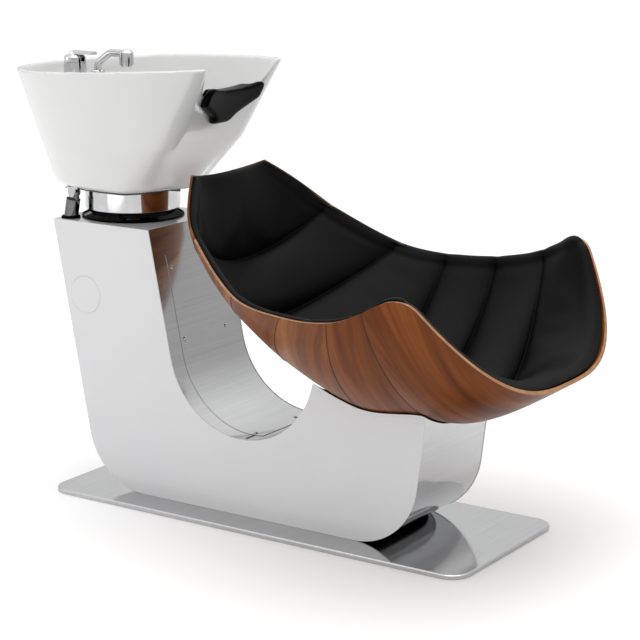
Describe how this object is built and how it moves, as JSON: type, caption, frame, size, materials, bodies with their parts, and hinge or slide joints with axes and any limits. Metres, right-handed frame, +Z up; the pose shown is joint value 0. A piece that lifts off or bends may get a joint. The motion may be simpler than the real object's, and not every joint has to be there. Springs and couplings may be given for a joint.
{
  "type": "hair washing bed",
  "caption": "Hair washing bed: bent plywood lounge shell with channelled cushion on a steel pedestal that carries a tilting ceramic basin with mixer and hand spray.",
  "frame": {"origin": "centre of the base plate's underside, on the floor", "axes": "+X towards the foot end of the bed, -X towards the basin, -Y the side nearest the picture, +Z up"},
  "size_m": [1.3418, 0.7906, 0.9513],
  "materials": {
    "white_lacquer": "glossy white lacquer",
    "polished_steel": "polished sheet steel",
    "frame_steel": "dark satin powder coat",
    "ceramic": null,
    "chrome": "bright chrome plating",
    "walnut": "satin walnut veneer on bent plywood",
    "black_upholstery": "smooth black leatherette",
    "black_rubber": "matt black rubber or gel",
    "white_plastic": "moulded waste fittings",
    "brass": "plain brass fittings",
    "hose_braid": "braided hose"
  },
  "bodies": {
    "pedestal": {"base_plate": "polished_steel", "side_panel_right": "white_lacquer", "side_panel_left": "white_lacquer", "side_cap": "white_lacquer", "rear_cover": "polished_steel", "inner_cover": "polished_steel", "front_cover": "polished_steel", "access_panel": "polished_steel", "access_screws": "polished_steel", "tower_top_plate": "polished_steel", "head_plate": "frame_steel", "seat_post": "frame_steel", "seat_saddle": "frame_steel", "seat_bolts": "frame_steel", "frame_rails": "frame_steel", "tilt_yokes": "frame_steel", "tilt_pins": "chrome", "strut_pins": "chrome", "strut_collars": "black_rubber", "cup_gasket": "black_rubber", "waste_boot": "black_rubber", "waste_trap": "white_plastic", "pipe_bracket": "frame_steel", "supply_pipes": "brass", "stop_valves": "brass", "shell_stave_1": "walnut", "shell_stave_2": "walnut", "shell_stave_3": "walnut", "shell_stave_4": "walnut", "shell_stave_5": "walnut", "shell_stave_6": "walnut", "cushion_panel_1": "black_upholstery", "cushion_panel_2": "black_upholstery", "cushion_panel_3": "black_upholstery", "cushion_panel_4": "black_upholstery", "cushion_panel_5": "black_upholstery", "cushion_panel_6": "black_upholstery"},
    "basin": {"basin": "ceramic", "basin_carrier": "frame_steel", "tilt_cup": "chrome", "drain_flange": "chrome", "basin_nuts": "white_plastic", "tailpiece": "white_plastic", "mixer_body": "chrome", "spray_holder": "chrome", "strut_brackets": "frame_steel", "supply_hoses": "hose_braid", "spray_hose": "hose_braid"},
    "neck_rest": {"neck_rest": "black_rubber"},
    "drain_strainer": {"drain_strainer": "chrome"},
    "mixer_cap": {"mixer_cap": "chrome", "lever_pin": "chrome"},
    "mixer_lever": {"mixer_lever": "chrome"},
    "hand_spray": {"hand_spray": "chrome"},
    "strut_rod_right": {"strut_rod_right": "chrome"},
    "strut_tube_right": {"strut_tube_right": "chrome"},
    "strut_rod_left": {"strut_rod_left": "chrome"},
    "strut_tube_left": {"strut_tube_left": "chrome"},
    "valve_handle_cold": {"valve_handle_cold": "brass"},
    "valve_handle_hot": {"valve_handle_hot": "brass"}
  },
  "joints": [
    {"name": "basin_tilt", "type": "hinge", "parent": "pedestal", "child": "basin", "pos_m": [-0.435, 0, 0.622], "axis": [0, 1, 0], "range_deg": [-8, 0], "deforming": ["supply_hoses"]},
    {"name": "neck_rest_lift", "type": "slide", "parent": "basin", "child": "neck_rest", "axis": [0.4977, 0, 0.8673], "range_m": [0, 0.06]},
    {"name": "strainer_lift", "type": "slide", "parent": "basin", "child": "drain_strainer", "axis": [0, 0, 1], "range_m": [0, 0.03]},
    {"name": "mixer_swivel", "type": "hinge", "parent": "basin", "child": "mixer_cap", "pos_m": [-0.596, 0.005, 0.93], "axis": [0, 0, 1], "range_deg": [-45, 45]},
    {"name": "lever_lift", "type": "hinge", "parent": "mixer_cap", "child": "mixer_lever", "pos_m": [-0.596, 0.005, 0.9358], "axis": [0, -1, 0], "range_deg": [0, 15]},
    {"name": "spray_pull", "type": "slide", "parent": "basin", "child": "hand_spray", "axis": [0, 0, 1], "range_m": [0, 0.09], "deforming": ["spray_hose"]},
    {"name": "valve_turn_cold", "type": "hinge", "parent": "pedestal", "child": "valve_handle_cold", "pos_m": [-0.199, -0.031, 0.15], "axis": [1, 0, 0], "range_deg": [0, 90]},
    {"name": "valve_turn_hot", "type": "hinge", "parent": "pedestal", "child": "valve_handle_hot", "pos_m": [-0.199, 0.031, 0.15], "axis": [-1, 0, 0], "range_deg": [0, 90]},
    {"name": "strut_swing_right", "type": "hinge", "parent": "pedestal", "child": "strut_rod_right", "pos_m": [-0.5304, -0.104, 0.578], "axis": [0, 1, 0], "range_deg": [-1.6, 0.1]},
    {"name": "strut_slide_right", "type": "slide", "parent": "strut_rod_right", "child": "strut_tube_right", "axis": [0.1961, 0, 0.9806], "range_m": [-0.0125, 0.0005]},
    {"name": "strut_swing_left", "type": "hinge", "parent": "pedestal", "child": "strut_rod_left", "pos_m": [-0.5304, 0.104, 0.578], "axis": [0, 1, 0], "range_deg": [-1.6, 0.1]},
    {"name": "strut_slide_left", "type": "slide", "parent": "strut_rod_left", "child": "strut_tube_left", "axis": [0.1961, 0, 0.9806], "range_m": [-0.0125, 0.0005]}
  ],
  "couplings": [
    {"joint": "strut_swing_right", "follows": "basin_tilt", "ratio": 0.174},
    {"joint": "strut_slide_right", "follows": "basin_tilt", "m_per_rad": 0.0857},
    {"joint": "strut_swing_left", "follows": "basin_tilt", "ratio": 0.174},
    {"joint": "strut_slide_left", "follows": "basin_tilt", "m_per_rad": 0.0857}
  ]
}
